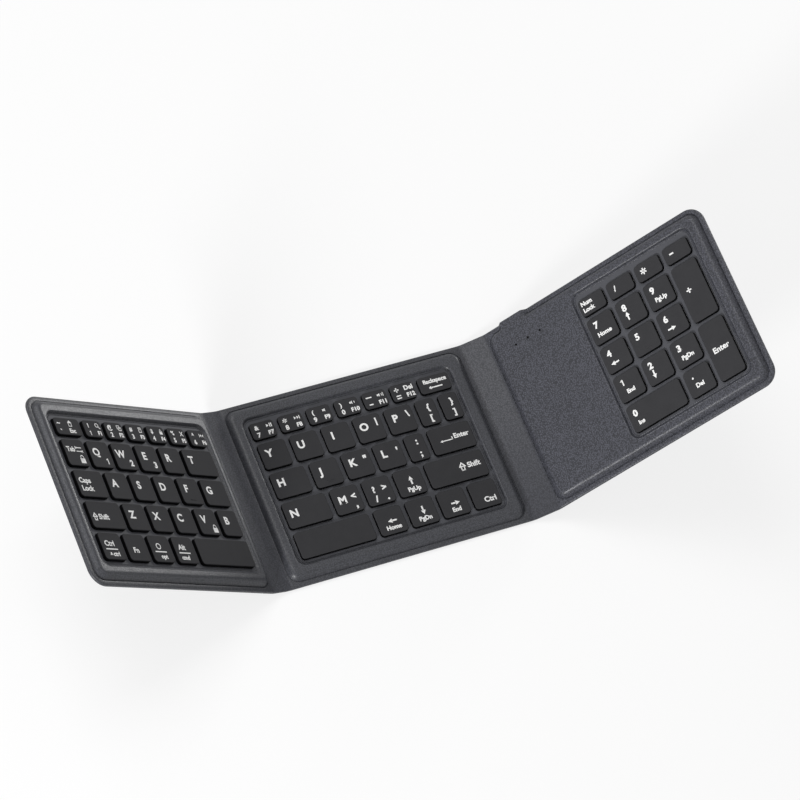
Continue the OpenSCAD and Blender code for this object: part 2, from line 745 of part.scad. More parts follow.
module main_board() {
  color("#1f6b3a") on_right() difference() {
    union() {
      translate([board_x, board_y, plate_z]) cube([bay_fill_w, board_l, board_t]);
      translate([bay_x + chip_w, board_y + chip_front, plate_z]) cube([chip_w, chip_w, 1.5]);
      translate([bay_x + 2 * radio_w, board_y + chip_front, plate_z])
        cube([radio_w, 0.8 * radio_w, 1.3]);
      translate([0, cable_y - cable_w / 2, plate_z]) cube([bay_x + bay_gap, cable_w, membrane_t]);
    }
    light_pins(light_d, plate_z + board_t, plateau_z);
  }
}
module battery() {
  color("#8f9398") on_right() translate([bay_x + bay_gap, battery_y, plate_z])
    cube([bay_fill_w, battery_l, battery_t]);
}
module charging_socket() {
  color("#c0c3c7") on_right() difference() {
    socket_space(port_y);
    translate([socket_x + 0.3, port_y + 2, socket_z + 0.3])
      cube([socket_w - 0.6, port_l, socket_h - 0.6]);
  }
}
module port_block() {
  color("#2b2c2f") on_right() difference() {
    port_body(0);
    socket_space(port_y - 1);
    translate([socket_x, half_d - 1.4, socket_z]) cube([socket_w, 3, socket_h]);
  }
}
module status_lights() {
  color("#16171a") on_right() light_pins(light_d, plate_z + board_t, plateau_z - 0.2);
}

module esc_key() {
  color("#2c2d2f") on_left() left_row(0, 0, 0) cap();
}
module left_number_keys() {
  color("#2c2d2f") on_left() left_row(0, 1, 6) cap();
}
module tab_key() {
  color("#2c2d2f") on_left() left_row(1, 0, 0) cap();
}
module left_upper_keys() {
  color("#2c2d2f") on_left() left_row(1, 1, 5) cap();
}
module caps_lock_key() {
  color("#2c2d2f") on_left() left_row(2, 0, 0) cap();
}
module left_home_keys() {
  color("#2c2d2f") on_left() left_row(2, 1, 5) cap();
}
module left_shift_key() {
  color("#2c2d2f") on_left() left_row(3, 0, 0) cap();
}
module left_lower_keys() {
  color("#2c2d2f") on_left() left_row(3, 1, 5) cap();
}
module left_modifier_keys() {
  color("#2c2d2f") on_left() left_row(4, 0, 3) cap();
}
module left_space_key() {
  color("#2c2d2f") on_left() left_row(4, 4, 4) cap();
}
module middle_number_keys() {
  color("#2c2d2f") middle_row(0, 0, 5) cap();
}
module backspace_key() {
  color("#2c2d2f") middle_row(0, 6, 6) cap();
}
module middle_upper_keys() {
  color("#2c2d2f") middle_row(1, 0, 6) cap();
}
module middle_home_keys() {
  color("#2c2d2f") middle_row(2, 0, 4) cap();
}
module enter_key() {
  color("#2c2d2f") middle_row(2, 5, 5) cap();
}
module middle_lower_keys() {
  color("#2c2d2f") middle_row(3, 0, 2) cap();
}
module arrow_keys() {
  color("#2c2d2f") union() {
    middle_row(3, 3, 3) cap();
    middle_row(4, 1, 3) cap();
  }
}
module right_shift_key() {
  color("#2c2d2f") middle_row(3, 4, 4) cap();
}
module right_space_key() {
  color("#2c2d2f") middle_row(4, 0, 0) cap();
}
module right_ctrl_key() {
  color("#2c2d2f") middle_row(4, 4, 4) cap();
}
module pad_top_keys() {
  color("#2c2d2f") on_right() pad_top() cap();
}
module pad_789_keys() {
  color("#2c2d2f") on_right() pad_rows(1) cap();
}
module pad_456_keys() {
  color("#2c2d2f") on_right() pad_rows(2) cap();
}
module pad_123_keys() {
  color("#2c2d2f") on_right() pad_rows(3) cap();
}
module pad_plus_key() {
  color("#2c2d2f") on_right() pad_plus() cap();
}
module pad_enter_key() {
  color("#2c2d2f") on_right() pad_enter() cap();
}
module pad_zero_key() {
  color("#2c2d2f") on_right() pad_zero() cap();
}
module pad_point_key() {
  color("#2c2d2f") on_right() pad_point() cap();
}

middle_bottom_skin();
middle_base_plate();
middle_contact_sheet();
middle_dome_sheet();
middle_scissor_links();
middle_key_frame();
middle_top_skin();
left_bottom_skin();
left_base_plate();
left_contact_sheet();
left_dome_sheet();
left_scissor_links();
left_key_frame();
left_top_skin();
left_magnets();
right_bottom_skin();
right_base_plate();
right_contact_sheet();
right_dome_sheet();
right_scissor_links();
right_key_frame();
right_top_skin();
right_magnets();
left_hinge_band();
left_flat_cable();
right_hinge_band();
right_flat_cable();
main_board();
battery();
charging_socket();
port_block();
status_lights();
esc_key();
left_number_keys();
tab_key();
left_upper_keys();
caps_lock_key();
left_home_keys();
left_shift_key();
left_lower_keys();
left_modifier_keys();
left_space_key();
middle_number_keys();
backspace_key();
middle_upper_keys();
middle_home_keys();
enter_key();
middle_lower_keys();
arrow_keys();
right_shift_key();
right_space_key();
right_ctrl_key();
pad_top_keys();
pad_789_keys();
pad_456_keys();
pad_123_keys();
pad_plus_key();
pad_enter_key();
pad_zero_key();
pad_point_key();
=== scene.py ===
import json
import math

import bmesh
import bpy
from mathutils import Matrix, Vector


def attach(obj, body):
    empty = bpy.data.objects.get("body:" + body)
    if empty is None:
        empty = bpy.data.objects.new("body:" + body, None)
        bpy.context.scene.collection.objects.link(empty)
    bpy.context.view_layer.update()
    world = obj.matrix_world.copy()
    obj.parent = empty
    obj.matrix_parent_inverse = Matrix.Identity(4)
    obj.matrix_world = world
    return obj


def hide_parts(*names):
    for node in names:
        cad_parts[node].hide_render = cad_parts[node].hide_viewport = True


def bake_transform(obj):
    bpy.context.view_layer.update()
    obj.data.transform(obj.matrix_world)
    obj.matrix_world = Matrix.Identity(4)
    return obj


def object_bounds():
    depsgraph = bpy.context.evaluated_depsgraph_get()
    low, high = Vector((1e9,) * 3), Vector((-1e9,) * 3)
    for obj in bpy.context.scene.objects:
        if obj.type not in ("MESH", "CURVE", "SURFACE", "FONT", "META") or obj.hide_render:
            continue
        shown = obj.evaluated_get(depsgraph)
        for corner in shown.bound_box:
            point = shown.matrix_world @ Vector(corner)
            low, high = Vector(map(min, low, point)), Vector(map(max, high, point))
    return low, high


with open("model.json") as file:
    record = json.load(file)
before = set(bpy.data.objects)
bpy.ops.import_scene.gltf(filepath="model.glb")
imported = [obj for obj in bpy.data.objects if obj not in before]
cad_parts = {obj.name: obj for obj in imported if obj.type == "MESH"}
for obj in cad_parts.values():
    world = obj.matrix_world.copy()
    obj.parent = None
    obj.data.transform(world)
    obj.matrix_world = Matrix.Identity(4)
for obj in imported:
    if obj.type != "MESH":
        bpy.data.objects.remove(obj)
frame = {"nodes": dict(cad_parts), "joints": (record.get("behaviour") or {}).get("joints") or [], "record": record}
cad_low, cad_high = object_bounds()
bpy.ops.object.select_all(action="DESELECT")
bpy.context.scene.view_settings.view_transform = "Standard"

# Camera. It looks down on the middle panel from the front left, from about
# 1.7 metres away, with a long lens that keeps the three panels nearly parallel.
MM = 0.001
camera_data = bpy.data.cameras.new("camera")
camera_data.sensor_width = 36
camera_data.lens = 168.093
camera = bpy.data.objects.new("camera", camera_data)
camera.location = Vector((-555.04, -632.06, 1549.94)) * MM
camera.rotation_euler = [math.radians(a) for a in (27.755, -10.671, -21.843)]
bpy.context.scene.collection.objects.link(camera)
bpy.context.scene.camera = camera


# Studio. A pale floor and a white surround, one wide soft light from above and
# behind, and two lower ones, from the right and from the left, that each light
# the far wing. A matt colour renders about as it is written.
def srgb(text):
    """The linear colour of a written one, such as "#808080"."""
    parts = [int(text[i : i + 2], 16) / 255 for i in (1, 3, 5)]
    linear = [c / 12.92 if c <= 0.04045 else ((c + 0.055) / 1.055) ** 2.4 for c in parts]
    return (*linear, 1.0)


def add_node(tree, kind, inputs=None, **settings):
    """A shader node with its settings, and with a value or a link on each input given."""
    node = tree.nodes.new(kind)
    for name, value in settings.items():
        setattr(node, name, value)
    for socket, value in (inputs or {}).items():
        if isinstance(value, bpy.types.NodeSocket):
            tree.links.new(value, node.inputs[socket])
        else:
            node.inputs[socket].default_value = value
    return node


def empty_material(name):
    """A new material and its node tree, with nothing in it."""
    material = bpy.data.materials.new(name)
    material.use_nodes = True
    material.node_tree.nodes.clear()
    return material, material.node_tree


world = bpy.data.worlds.new("studio")
bpy.context.scene.world = world
world.use_nodes = True
world.node_tree.nodes.clear()


def seen_directly(tree):
    """1 for camera, mirror and glass rays, and 0 for the rays that light the object."""
    path = add_node(tree, "ShaderNodeLightPath")
    mirrored = add_node(
        tree,
        "ShaderNodeMath",
        {0: path.outputs["Is Camera Ray"], 1: path.outputs["Is Glossy Ray"]},
        operation="ADD",
        use_clamp=True,
    )
    return add_node(
        tree,
        "ShaderNodeMath",
        {0: mirrored.outputs[0], 1: path.outputs["Is Transmission Ray"]},
        operation="ADD",
        use_clamp=True,
    ).outputs[0]


seen = add_node(world.node_tree, "ShaderNodeBackground", {"Color": (1, 1, 1, 1), "Strength": 1.0})
lit = add_node(world.node_tree, "ShaderNodeBackground", {"Color": (1, 1, 1, 1), "Strength": 0.25})
mix = add_node(
    world.node_tree,
    "ShaderNodeMixShader",
    {0: seen_directly(world.node_tree), 1: lit.outputs[0], 2: seen.outputs[0]},
)
add_node(world.node_tree, "ShaderNodeOutputWorld", {"Surface": mix.outputs[0]})

FLOOR_SIDE = 8.0
FLOOR_DROP = 0.0001
bpy.ops.mesh.primitive_plane_add(size=FLOOR_SIDE, location=(0, 0, cad_low.z - FLOOR_DROP))
floor = bpy.context.object
floor.name = "floor"
paper, tree = empty_material("matt_studio_paper")
fibres = add_node(
    tree,
    "ShaderNodeTexNoise",
    {
        "Vector": add_node(tree, "ShaderNodeTexCoord").outputs["Object"],
        "Scale": 1 / (3 * MM),
        "Detail": 2.0,
    },
)
tint = add_node(
    tree,
    "ShaderNodeMix",
    {0: fibres.outputs[0], 6: srgb("#d6d6d6"), 7: srgb("#dcdcdc")},
    data_type="RGBA",
)
matt = add_node(tree, "ShaderNodeBsdfDiffuse", {"Color": tint.outputs[2]})
soft = add_node(tree, "ShaderNodeBsdfDiffuse", {"Color": srgb("#9a9a9a")})
glow = add_node(tree, "ShaderNodeEmission", {"Color": (1, 1, 1, 1), "Strength": 0.72})
white = add_node(tree, "ShaderNodeAddShader", {0: soft.outputs[0], 1: glow.outputs[0]})
surface = add_node(
    tree, "ShaderNodeMixShader", {0: seen_directly(tree), 1: matt.outputs[0], 2: white.outputs[0]}
)
add_node(tree, "ShaderNodeOutputMaterial", {"Surface": surface.outputs[0]})
floor.data.materials.append(paper)

# Each lamp has its place and its side in metres and its power in watts, and is
# aimed at the middle panel.
aim = Vector((0, 0, 0.02))
for name, spot, power, size in (
    ("back_light", (-0.3, 0.9, 1.35), 9.2, 0.9),
    ("right_light", (0.85, 0.45, 0.13), 2.4, 0.22),
    ("left_light", (-1.2, -0.85, 0.55), 17, 0.3),
):
    data = bpy.data.lights.new(name, "AREA")
    data.energy = power
    data.size = size
    lamp = bpy.data.objects.new(name, data)
    lamp.location = spot
    lamp.rotation_euler = (aim - lamp.location).to_track_quat("-Z", "Y").to_euler()
    bpy.context.scene.collection.objects.link(lamp)

# Panel places. Each wing is laid out flat, as it comes off the press, and then
# turned about its two creases to the angle it rests at. A place carries the
# flat coordinates of a panel into the frame.
joints = {j["name"]: j for j in frame["joints"]}


def wing_place(side):
    """Turns a flat wing about its outer crease, by the angle of both creases together."""
    band = joints[side + "_band_fold"]
    wing = joints[side + "_wing_fold"]
    opened = -math.radians(band["range_deg"][0] + wing["range_deg"][0])
    crease_z = band["pos_m"][2]
    return (
        Matrix.Translation(wing["pos_m"])
        @ Matrix.Rotation(opened, 4, Vector(wing["axis"]))
        @ Matrix.Translation((0, 0, -crease_z))
    )


PANELS = ("middle", "left", "right")
place = {"middle": Matrix.Identity(4), "left": wing_place("left"), "right": wing_place("right")}
body = {"middle": "middle_panel", "left": "left_wing", "right": "right_wing"}


def box_in(node, panel):
    """The corners of a solid's box, in the flat mm of a panel."""
    back = place[panel].inverted()
    points = [back @ v.co / MM for v in frame["nodes"][node].data.vertices]
    low = Vector([min(p[i] for p in points) for i in range(3)])
    high = Vector([max(p[i] for p in points) for i in range(3)])
    return low, high


# Top skins. One sheet of embossed artificial leather over each panel, pressed
# in a heated mould: a thin edge, a raised top with round shoulders, and a well
# around the keys. The skins are modelled flat, in millimetres.
LEATHER_T = 0.45
EDGE_Z = 1.6
TOP_Z = box_in("middle_top_skin", "middle")[1].z
WEB_Z = 3.0
FLANGE = 2.2
CORE_R = 5.8
OUTER_R = 8.0
SLOPE_RUN = 2.15
SHOULDER_RUN = 4.0
WELL_RUN = 1.3
WELL_R = 3.0
RIM_RUN = 0.95
GROOVE = 0.3
CREASE_SIDE = 1.1
CREASE_R = 0.5
CREASE_LAP = 0.6
SEAM_Z = 0.5
SIDE_RISE = 0.65
KEY_TO_WELL = 1.2
KEY_TO_WELL_BACK = {"middle": 2.1, "left": 2.1, "right": 3.2}
CORNER_STEPS = 10
SMOOTH_ANGLE = math.radians(40)
core_inset = {"middle": (2.3, 2.3), "left": (FLANGE, CREASE_SIDE), "right": (CREASE_SIDE, FLANGE)}
key_nodes = {
    "left": (
        "esc_key", "left_number_keys", "tab_key", "left_upper_keys", "caps_lock_key",
        "left_home_keys", "left_shift_key", "left_lower_keys", "left_modifier_keys",
        "left_space_key",
    ),
    "middle": (
        "middle_number_keys", "backspace_key", "middle_upper_keys", "middle_home_keys",
        "enter_key", "middle_lower_keys", "arrow_keys", "right_shift_key",
        "right_space_key", "right_ctrl_key",
    ),
    "right": (
        "pad_top_keys", "pad_789_keys", "pad_456_keys", "pad_123_keys", "pad_plus_key",
        "pad_enter_key", "pad_zero_key", "pad_point_key",
    ),
}


def pick(piece, kind, test):
    """Selects the vertices, edges or faces of a piece in edit mode, by their middle in mm."""
    mesh = bmesh.from_edit_mesh(piece.data)
    mode = {"verts": "VERT", "edges": "EDGE", "faces": "FACE"}[kind]
    bpy.ops.mesh.select_mode(type=mode)
    bpy.ops.mesh.select_all(action="DESELECT")
    for item in getattr(mesh, kind):
        points = [item.co] if kind == "verts" else [v.co for v in item.verts]
        middle = sum(points, Vector()) / len(points) / MM
        if test(item, middle):
            item.select_set(True)
    bmesh.update_edit_mesh(piece.data)


def plate(name, x0, x1, y0, y1, z, round_low, round_high, steps=CORNER_STEPS):
    """A flat rectangle with round corners, left in edit mode with its face selected."""
    bpy.ops.mesh.primitive_plane_add(size=1)
    piece = bpy.context.object
    piece.name = name
    piece.scale = ((x1 - x0) * MM, (y1 - y0) * MM, 1)
    piece.location = Vector(((x0 + x1) / 2, (y0 + y1) / 2, z)) * MM
    bpy.ops.object.transform_apply(location=True, rotation=True, scale=True)
    bpy.ops.object.mode_set(mode="EDIT")
    for radius, low in ((round_low, True), (round_high, False)):
        pick(piece, "verts", lambda item, co: (co.x < (x0 + x1) / 2) == low)
        bpy.ops.mesh.bevel(offset=radius * MM, segments=steps, affect="VERTICES")
    pick(piece, "faces", lambda item, co: True)
    return piece


def slope(run, rise, count):
    """A smooth slope as steps in and up."""
    height = [rise * (i / count) ** 2 * (3 - 2 * i / count) for i in range(count + 1)]
    return [(run / count, height[i + 1] - height[i]) for i in range(count)]


def shoulder(run, rise, count):
    """A steep foot that turns into a long round shoulder, as steps in and up."""
    height = [rise * (1 - (1 - i / count) ** 3) for i in range(count + 1)]
    return [(run / count, height[i + 1] - height[i]) for i in range(count)]


def step_in(steps):
    """Insets the selected face again and again, each time by a step inwards and a step up."""
    for inward, upward in steps:
        bpy.ops.mesh.inset(thickness=inward * MM, depth=upward * MM)


def open_face():
    """Takes out the selected face, and leaves edit mode."""
    bpy.ops.mesh.delete(type="ONLY_FACE")
    bpy.ops.object.mode_set(mode="OBJECT")


def face_outwards():
    """Turns every face of the piece in edit mode outwards, and leaves edit mode."""
    bpy.ops.mesh.select_all(action="SELECT")
    bpy.ops.mesh.normals_make_consistent(inside=False)
    bpy.ops.object.mode_set(mode="OBJECT")


def choose(*pieces):
    """Selects these pieces alone, with the first one active."""
    bpy.ops.object.select_all(action="DESELECT")
    for piece in pieces:
        piece.select_set(True)
    bpy.context.view_layer.objects.active = pieces[0]


def join(pieces, name):
    """Makes one object of the pieces, under a new name."""
    choose(*pieces)
    if len(pieces) > 1:
        bpy.ops.object.join()
    pieces[0].name = name
    return pieces[0]


def bridge(piece, z):
    """Joins the two open loops of a piece that lie at one height."""
    pick(piece, "edges", lambda item, co: item.is_boundary and abs(co.z - z) < 0.001)
    bpy.ops.mesh.bridge_edge_loops()


def harden(piece, thickness):
    """Gives a sheet its thickness, on the inner side."""
    solid = piece.modifiers.new("thickness", "SOLIDIFY")
    solid.thickness = thickness * MM
    solid.offset = -1
    bpy.ops.object.modifier_apply(modifier=solid.name)


def settle(piece, panel):
    """Carries a finished piece from its flat place to where the panel rests."""
    choose(piece)
    piece.matrix_world = place[panel]
    bpy.ops.object.transform_apply(location=True, rotation=True, scale=True)


outline = {}
core = {}
well = {}
half_depth = box_in("middle_bottom_skin", "middle")[1].y
for panel in PANELS:
    low, high = box_in(panel + "_bottom_skin", panel)
    crease_low = panel != "left"
    crease_high = panel != "right"
    x0 = low.x + (EDGE_Z / 2 if crease_low else 0)
    x1 = high.x - (EDGE_Z / 2 if crease_high else 0)
    inset = core_inset[panel]
    core[panel] = (x0 + inset[0], x1 - inset[1], -half_depth + FLANGE, half_depth - FLANGE)
    outline[panel] = (
        core[panel][0] - CREASE_LAP if crease_low else x0,
        core[panel][1] + CREASE_LAP if crease_high else x1,
        CREASE_R if crease_low else OUTER_R,
        CREASE_R if crease_high else OUTER_R,
    )
    boxes = [box_in(node, panel) for node in key_nodes[panel]]
    well[panel] = (
        min(b[0].x for b in boxes) - KEY_TO_WELL,
        max(b[1].x for b in boxes) + KEY_TO_WELL,
        min(b[0].y for b in boxes) - KEY_TO_WELL,
        max(b[1].y for b in boxes) + KEY_TO_WELL_BACK[panel],
    )


def top_skin(panel):
    """Three rings of one sheet, joined by bridges: the thin edge, the shoulder and the rim of the well."""
    ox0, ox1, round_low, round_high = outline[panel]
    edge = plate("edge", ox0, ox1, -half_depth, half_depth, SEAM_Z, round_low, round_high)
    bpy.ops.mesh.extrude_region_move(TRANSFORM_OT_translate={"value": (0, 0, SIDE_RISE * MM)})
    step_in([(0.06, 0.2), (0.13, 0.15), (0.26, 0.1)])
    open_face()
    cx0, cx1, cy0, cy1 = core[panel]
    raised = plate("raised", cx0, cx1, cy0, cy1, EDGE_Z, CORE_R, CORE_R)
    step_in([(0.15, -GROOVE), (0.2, 0)])
    step_in(shoulder(SHOULDER_RUN, TOP_Z - EDGE_Z + GROOVE, 14))
    step_in([(0.2, 0)])
    open_face()
    wx0, wx1, wy0, wy1 = well[panel]
    wide = WELL_RUN + RIM_RUN
    rim = plate(
        "rim", wx0 - wide, wx1 + wide, wy0 - wide, wy1 + wide, TOP_Z, WELL_R + wide, WELL_R + wide
    )
    step_in([(0.15, 0), (0.12, 0.1), (0.11, 0), (0.12, -0.1)])
    step_in(slope(WELL_RUN, WEB_Z - 0.05 - TOP_Z, 8))
    step_in([(0.1, 0.16), (0.15, 0.06), (0.15, -0.06), (0.1, -0.16)])
    open_face()
    skin = join([edge, raised, rim], panel + "_leather_top")
    bpy.ops.object.mode_set(mode="EDIT")
    bridge(skin, EDGE_Z)
    bridge(skin, TOP_Z)
    face_outwards()
    return skin


def raise_port_cover(skin):
    """Lifts the leather over the charging port, at the back edge, and opens its end."""
    bpy.ops.object.mode_set(mode="EDIT")
    socket_low, socket_high = box_in("charging_socket", "right")
    port_x = (socket_low.x + socket_high.x) / 2
    left_foot = port_x - PORT_HALF - SLOPE_RUN
    right_foot = port_x + PORT_HALF + SLOPE_RUN
    for x in (left_foot, port_x - PORT_HALF, port_x + PORT_HALF, right_foot):
        pick(skin, "faces", lambda item, co: co.y > COVER_FRONT_Y)
        bpy.ops.mesh.bisect(plane_co=(x * MM, 0, 0), plane_no=(1, 0, 0))
    pick(
        skin, "faces",
        lambda item, co: co.y > BACK_FACE_Y and co.z < BACK_FACE_Z and left_foot < co.x < right_foot,
    )
    bpy.ops.mesh.delete(type="FACE")
    pick(
        skin, "verts",
        lambda item, co: abs(co.x - port_x) < PORT_HALF + 0.01
        and co.y > COVER_FRONT_Y and co.z > BACK_FACE_Z - 0.1,
    )
    mesh = bmesh.from_edit_mesh(skin.data)
    for item in mesh.verts:
        if item.select:
            on_edge = item.co.y / MM > half_depth - FLANGE + 0.2
            edge_drop = max(0.0, EDGE_Z - item.co.z / MM) if on_edge else 0.0
            item.co.z = (TOP_Z - edge_drop) * MM
    bmesh.update_edit_mesh(skin.data)
    bpy.ops.object.mode_set(mode="OBJECT")


def drill_light_holes(skin):
    """Cuts the holes over the three status lights."""
    lights_low, lights_high = box_in("status_lights", "right")
    first_x = lights_low.x + LIGHT_R
    last_x = lights_high.x - LIGHT_R
    lights_y = (lights_low.y + lights_high.y) / 2
    drills = []
    for x in (first_x, (first_x + last_x) / 2, last_x):
        bpy.ops.mesh.primitive_cylinder_add(
            vertices=24, radius=LIGHT_HOLE_R * MM, depth=3 * MM, location=Vector((x, lights_y, TOP_Z)) * MM
        )
        drills.append(bpy.context.object)
    drill = join(drills, "drill")
    bpy.ops.object.transform_apply(location=True, rotation=True, scale=True)
    holes = skin.modifiers.new("holes", "BOOLEAN")
    holes.object = drill
    holes.operation = "DIFFERENCE"
    bpy.context.view_layer.objects.active = skin
    bpy.ops.object.modifier_apply(modifier=holes.name)
    bpy.data.objects.remove(drill)


# Polyurethane leather, embossed with a pebble grain. Besides the bump, its colour
# is painted lighter on the grain's rounded tops and darker in its valleys, as painted
# highlight and shade, with a slow random change of tone that keeps wide flat places
# from looking like paint.
def leather(name, valley, top, grain_mm, depth_mm, rough_low, rough_high):
    material, tree = empty_material(name)
    place_at = add_node(tree, "ShaderNodeTexCoord").outputs["Object"]
    warp = add_node(
        tree, "ShaderNodeTexNoise", {"Vector": place_at, "Scale": 1 / (2.4 * MM), "Detail": 1.0}
    )
    bent = add_node(
        tree,
        "ShaderNodeVectorMath",
        {0: warp.outputs["Color"], 1: (0.5 * MM, 0.5 * MM, 0.5 * MM), 2: place_at},
        operation="MULTIPLY_ADD",
    )
    pebble = add_node(
        tree,
        "ShaderNodeTexVoronoi",
        {"Vector": bent.outputs[0], "Scale": 1 / (grain_mm * MM), "Randomness": 0.85},
        feature="F1",
    )
    pores = add_node(
        tree, "ShaderNodeTexNoise", {"Vector": place_at, "Scale": 1 / (0.35 * MM), "Detail": 2.0}
    )
    height = add_node(
        tree,
        "ShaderNodeMath",
        {0: pebble.outputs["Distance"], 1: -1.1, 2: 1.0},
        operation="MULTIPLY_ADD",
    )
    rough_height = add_node(
        tree,
        "ShaderNodeMath",
        {0: pores.outputs[0], 1: 0.35, 2: height.outputs[0]},
        operation="MULTIPLY_ADD",
    )
    # Painted highlight and shade of the grain: the colour follows the grain's height.
    painted_grain_light = add_node(
        tree, "ShaderNodeMapRange", {"Value": rough_height.outputs[0], "From Min": 0.45, "From Max": 1.0}
    )
    shade = add_node(
        tree, "ShaderNodeMix", {0: painted_grain_light.outputs[0], 6: srgb(valley), 7: srgb(top)}, data_type="RGBA"
    )
    drift = add_node(
        tree, "ShaderNodeTexNoise", {"Vector": place_at, "Scale": 1 / (34 * MM), "Detail": 3.0}
    )
    drift_tone = add_node(
        tree,
        "ShaderNodeMapRange",
        {"Value": drift.outputs[0], "From Min": 0.3, "From Max": 0.7, "To Min": 0.95, "To Max": 1.05},
    )
    toned = add_node(
        tree, "ShaderNodeVectorMath", {0: shade.outputs[2], 3: drift_tone.outputs[0]}, operation="SCALE"
    )
    rough = add_node(
        tree,
        "ShaderNodeMapRange",
        {"Value": rough_height.outputs[0], "From Min": 0.2, "From Max": 1.1,
         "To Min": rough_high, "To Max": rough_low},
    )
    bump = add_node(
        tree,
        "ShaderNodeBump",
        {"Height": rough_height.outputs[0], "Strength": 0.7, "Distance": depth_mm * MM},
    )
    skin_coat = add_node(
        tree,
        "ShaderNodeBsdfPrincipled",
        {"Base Color": toned.outputs[0], "Roughness": rough.outputs[0], "Normal": bump.outputs[0],
         "IOR": 1.5, "Specular IOR Level": 0.32},
    )
    add_node(tree, "ShaderNodeOutputMaterial", {"Surface": skin_coat.outputs[0]})
    return material


# One sheet of leather on all three panels. On the right panel it keeps the deeper pebble
# and the stronger painted grain highlight and shade; on the two panels of letter keys the
# grain is shallower, its painted highlight and shade weaker, and it shines more evenly.
pebbled_leather = leather("pebbled_pu_leather", "#333439", "#5a5b64", 0.7, 0.06, 0.28, 0.46)
letter_panel_leather = leather("ironed_pu_leather", "#393a3e", "#505157", 0.7, 0.035, 0.28, 0.44)
PORT_HALF = 6.0
COVER_FRONT_Y = 41.7
BACK_FACE_Y = 48.3
BACK_FACE_Z = 1.2
LIGHT_R = 0.5
LIGHT_HOLE_R = 0.62
skins = {panel: top_skin(panel) for panel in PANELS}
raise_port_cover(skins["right"])
for panel in PANELS:
    skin = skins[panel]
    bpy.context.view_layer.objects.active = skin
    harden(skin, LEATHER_T)
    if panel == "right":
        drill_light_holes(skin)
    choose(skin)
    bpy.ops.object.shade_smooth_by_angle(angle=SMOOTH_ANGLE)
    skin.data.materials.clear()
    skin.data.materials.append(pebbled_leather if panel == "right" else letter_panel_leather)
    settle(skin, panel)
    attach(skin, body[panel])
    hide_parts(panel + "_top_skin")


# Bottom skins. The same leather without the embossing, one flat sheet under
# each panel, glued to the steel plate and heat pressed to the top skin's edge.
under_leather = leather("flat_pu_leather", "#37383c", "#46474c", 0.7, 0.05, 0.55, 0.7)
SEAM_LAP = 0.02
SIDE_DROP = 0.12
for panel in PANELS:
    ox0, ox1, round_low, round_high = outline[panel]
    skin = plate(
        panel + "_leather_bottom", ox0, ox1, -half_depth, half_depth, SEAM_Z + SEAM_LAP,
        round_low, round_high,
    )
    bpy.ops.mesh.flip_normals()
    bpy.ops.mesh.extrude_region_move(TRANSFORM_OT_translate={"value": (0, 0, -SIDE_DROP * MM)})
    step_in([(0.06, 0.18), (0.13, 0.13), (0.26, 0.09)])
    face_outwards()
    skin.data.shade_smooth()
    skin.data.materials.append(under_leather)
    settle(skin, panel)
    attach(skin, body[panel])
    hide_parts(panel + "_bottom_skin")

# Hinge bands. Two layers of leather glued back to back over a thin fabric,
# between the raised parts of two panels. Each curves softly at its two creases,
# and is made of two halves, one for each crease, that meet in its middle.
BAND_GAP = 0.15
BAND_EDGE_R = 0.45
SECTION_STEP = 0.4
LEAD_IN = 0.1
LEAD_OUT = 0.05
INNER_STEPS = 12
OUTER_STEPS = 8
# The bands' leather is coloured darker than the panels' leather, as painted shade for the hollow between two
# panels.
shaded_band_leather = leather("hinge_band_leather", "#333439", "#484950", 0.7, 0.035, 0.34, 0.5)


def band_half(name, start, heading, steps, mirror):
    """A tube of the band's section, extruded along its steps from a start point in mm."""
    bpy.ops.mesh.primitive_plane_add(size=1, rotation=(0, math.pi / 2, 0))
    half = bpy.context.object
    half.name = name
    half.scale = (EDGE_Z * MM, 2 * half_depth * MM, 1)
    bpy.ops.object.transform_apply(location=True, rotation=True, scale=True)
    bpy.ops.object.mode_set(mode="EDIT")
    bpy.ops.mesh.select_all(action="SELECT")
    bpy.ops.mesh.bevel(offset=BAND_EDGE_R * MM, segments=3, affect="VERTICES")
    bpy.ops.object.mode_set(mode="OBJECT")
    half.matrix_world = (
        Matrix.Translation(Vector((start[0], 0, start[1])) * MM)
        @ Matrix.Rotation(-heading * mirror, 4, "Y")
    )
    bpy.ops.object.transform_apply(location=True, rotation=True, scale=True)
    bpy.ops.object.mode_set(mode="EDIT")
    bpy.ops.mesh.select_all(action="SELECT")
    x, z = start
    for length, turn in steps:
        heading += turn / 2
        x += mirror * length * math.cos(heading)
        z += length * math.sin(heading)
        shift = (mirror * length * math.cos(heading) * MM, 0, length * math.sin(heading) * MM)
        bpy.ops.mesh.extrude_region_move(TRANSFORM_OT_translate={"value": shift})
        bpy.ops.transform.rotate(
            value=mirror * turn, orient_axis="Y", center_override=(x * MM, 0, z * MM)
        )
        heading += turn / 2
    face_outwards()
    bpy.ops.object.shade_smooth_by_angle(angle=SMOOTH_ANGLE)
    return half, (x, z), heading


